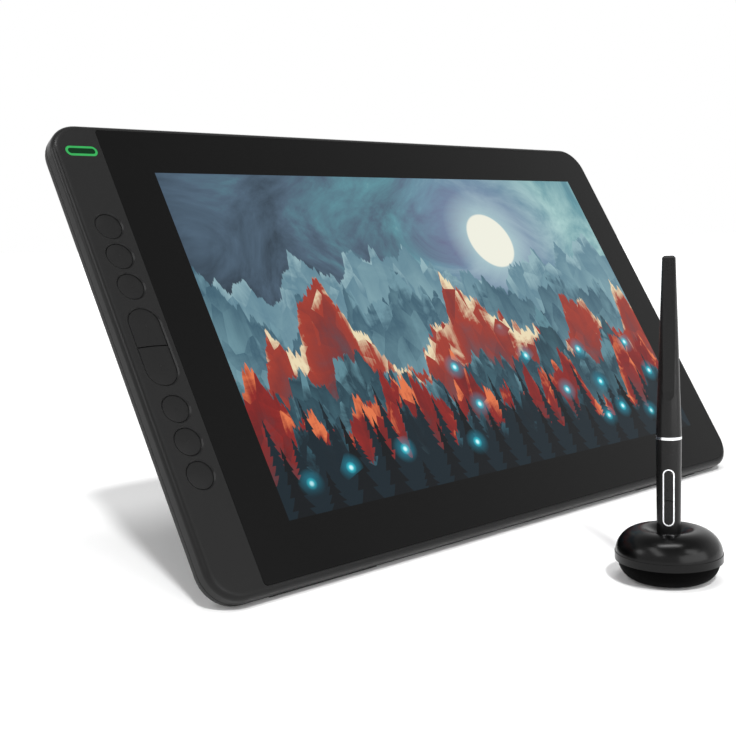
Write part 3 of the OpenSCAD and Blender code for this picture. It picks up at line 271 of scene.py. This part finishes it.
        # Distance from the trunk
        within = node(tree, "ShaderNodeMath", (row,), operation="FRACT")
        side = node(tree, "ShaderNodeMath", (within, 0.5), operation="SUBTRACT")
        off = node(tree, "ShaderNodeMath", (side,), operation="ABSOLUTE")
        bough = node(tree, "ShaderNodeMath", (off, half), operation="LESS_THAN")
        ground = node(tree, "ShaderNodeMath", (rise, 0.0), operation="LESS_THAN")
        either = node(tree, "ShaderNodeMath", (bough, ground), operation="MAXIMUM")
        layers.append((either, srgb(colour)))
    # Lanterns: small cyan lights with a soft glow, in a few places of a loose grid
    grid = node(tree, "ShaderNodeTexVoronoi", {"Vector": spot, "Scale": 8.0}, voronoi_dimensions="2D")
    pick = node(tree, "ShaderNodeSeparateColor", (grid.outputs["Color"],)).outputs[1]
    above = node(tree, "ShaderNodeMapRange", (up, 0.04, 0.1))
    below = node(tree, "ShaderNodeMapRange", (up, 0.46, 0.38))
    height = node(tree, "ShaderNodeMath", (above, below), operation="MULTIPLY")
    chosen = node(tree, "ShaderNodeMath", (pick, 0.62), operation="GREATER_THAN")
    some = node(tree, "ShaderNodeMath", (chosen, height), operation="MULTIPLY")
    for reach, share, colour in ((0.34, 0.5, "#1f8fa8"), (0.14, 0.9, "#35d0e0"), (0.07, 1.0, "#d8fbff")):
        glow = node(tree, "ShaderNodeMapRange", (grid.outputs["Distance"], reach, reach * 0.35, 0.0, share))
        layers.append((node(tree, "ShaderNodeMath", (some, glow), operation="MULTIPLY"), srgb(colour)))
    for share, colour in layers:
        picture = node(tree, "ShaderNodeMix", {"Factor": share, 6: picture, 7: colour}, data_type="RGBA").outputs[2]
    return picture


glass = etched_glass()

dress(abs_frame, "front_frame")
dress(glass, "cover_glass")
dress(abs_keys, "key_upper_1", "key_upper_2", "key_upper_3", "key_pill_upper", "key_pill_lower",
      "key_lower_1", "key_lower_2", "key_lower_3", "power_button")
dress(abs_back, "rear_cover")
dress(lens_green, "status_light")
dress(lens_dark, "status_light_mask")
dress(rubber, "lower_feet", "back_pads", "kickstand_foot", "stand_pad")
dress(powder, "kickstand")
dress(soft_touch, "pen_grip", "pen_rear_barrel", "pen_tail_cap")
dress(pen_dark, "pen_tail_inlay", "pen_button_upper", "pen_button_lower", "power_switch")
dress(chrome, "pen_ring", "pen_button_surround")
dress(stand_gloss, "stand_top")
dress(stand_matt, "stand_base", "nib_tray")
dress(nib_white, "pen_nib", "spare_nibs")
dress(board, "pen_sensor_board", "key_board", "main_board", "pen_board")
dress(steel_sheet, "shield_plate", "dome_switches", "cable_sockets", "panel_screws")
dress(steel_dark, "cover_screws", "hinge_brackets", "hinge_pins", "stand_weight")
dress(light_guide, "backlight", "screen_panel")
dress(copper, "pen_coil")

# The photograph's camera
lens = bpy.data.cameras.new("camera")
lens.sensor_fit = "HORIZONTAL"
lens.sensor_width = 36.0
lens.lens = 56.474
lens.clip_start, lens.clip_end = 0.01, 200.0
camera = bpy.data.objects.new("camera", lens)
bpy.context.scene.collection.objects.link(camera)
camera.location = Vector((-439.5, -359.7, 143.7)) * MM
camera.rotation_euler = [math.radians(turn) for turn in (83.671, 1.618, -42.996)]
bpy.context.scene.camera = camera


def lamp(name, kind, power, place, at, along=ACROSS_VIEW):
    """A lamp that points at a spot, with its long side along a line."""
    made = bpy.data.objects.new(name, bpy.data.lights.new(name, kind))
    made.data.energy = power
    bpy.context.scene.collection.objects.link(made)
    back = (Vector(place) - Vector(at)).normalized()
    rise = back.cross(Vector(along)).normalized()
    made.location = place
    made.rotation_euler = Matrix((rise.cross(back), rise, back)).transposed().to_euler()
    return made


def softbox(name, place, at, size, power, along=ACROSS_VIEW):
    """A lit rectangle, its size in metres."""
    made = lamp(name, "AREA", power, place, at, along).data
    made.shape = "RECTANGLE"
    made.size, made.size_y = size


# Main light: from beside the camera and above, with a shadow that blurs along the floor. The boxes give the gloss
main_light = lamp("main_light", "SUN", 1.95, (-0.32, -0.5, 0.74), (0, 0, 0))
main_light.data.angle = math.radians(5)
main_light.visible_glossy = False
# The right-hand patch on the stand, the highlight below the pen, and the left-hand patch
softbox("front_softbox", (0.015, -0.86, 0.67), STAND, (0.4, 0.3), 1.4)
softbox("overhead_softbox", (-0.35, -0.35, 2.38), STAND, (1.3, 0.4), 24.0)
softbox("back_left_softbox", (-0.9, 0.55, 0.55), STAND, (0.3, 0.3), 1.2)
# This one catches the rim and the chamfers around the keys
softbox("left_softbox", (-0.87, -0.08, 0.82), KEYS, (0.8, 0.28), 3.0, (0.52, 0.7, 0.49))
# A wide box in front, low down, gives the pen's barrel its broad highlight
softbox("pen_softbox", (-0.05, -0.8, 0.22), PEN, (0.85, 0.42), 3.0, (1, 0, 0))


def white_for_the_eye(tree, seen, other):
    """Strength for rays from the camera, mirrors and glass, and another for the light it gives."""
    path = node(tree, "ShaderNodeLightPath").outputs
    straight = node(tree, "ShaderNodeMath", (path["Is Camera Ray"], path["Is Glossy Ray"]), operation="MAXIMUM")
    any_ray = node(tree, "ShaderNodeMath", (straight, path["Is Transmission Ray"]), operation="MAXIMUM")
    return node(tree, "ShaderNodeMapRange", {"Value": any_ray, "To Min": other, "To Max": seen})


world = bpy.data.worlds.new("studio")
bpy.context.scene.world = world
world.use_nodes = True
sky = world.node_tree
sky.nodes.clear()
# White around the object, and a dim ceiling above, which keeps gloss black
aloft = node(sky, "ShaderNodeSeparateXYZ", (node(sky, "ShaderNodeTexCoord").outputs["Generated"],)).outputs[2]
ceiling = node(sky, "ShaderNodeMapRange", (aloft, 0.4, 0.9, 1.0, 0.3))
grey = node(sky, "ShaderNodeCombineColor", (ceiling, ceiling, ceiling))
sky_light = node(sky, "ShaderNodeBackground", {
    "Color": grey, "Strength": white_for_the_eye(sky, STUDIO_SEEN, STUDIO_LIGHT)})
node(sky, "ShaderNodeOutputWorld", {"Surface": sky_light})

# Floor: white paper, smooth and matt, which keeps the object's shadow. Away from the lamps it is made up to white
paper, paper_tree = material("paper_white")
spot = node(paper_tree, "ShaderNodeTexCoord").outputs["Object"]
out = node(paper_tree, "ShaderNodeVectorMath", (spot,), operation="LENGTH").outputs["Value"]
lift = node(paper_tree, "ShaderNodeMapRange", (out, 0.25, 2.4, 0.05, 0.75))
seen = node(paper_tree, "ShaderNodeMath", (lift, white_for_the_eye(paper_tree, STUDIO_SEEN, 0.0)),
            operation="MULTIPLY")
sheet_shade = node(paper_tree, "ShaderNodeBsdfDiffuse", {"Color": srgb("#fafafa")})
sheet_glow = node(paper_tree, "ShaderNodeEmission", {"Color": (1, 1, 1, 1), "Strength": seen})
both = node(paper_tree, "ShaderNodeAddShader", (sheet_shade, sheet_glow))
node(paper_tree, "ShaderNodeOutputMaterial", {"Surface": both})
sheet = bpy.data.meshes.new("floor")
sheet.from_pydata([(-HALF_FLOOR, -HALF_FLOOR, 0), (HALF_FLOOR, -HALF_FLOOR, 0),
                   (HALF_FLOOR, HALF_FLOOR, 0), (-HALF_FLOOR, HALF_FLOOR, 0)], [], [(0, 1, 2, 3)])
floor = bpy.data.objects.new("floor", sheet)
bpy.context.scene.collection.objects.link(floor)
floor.data.materials.append(paper)

bpy.context.scene.view_settings.view_transform = "Standard"
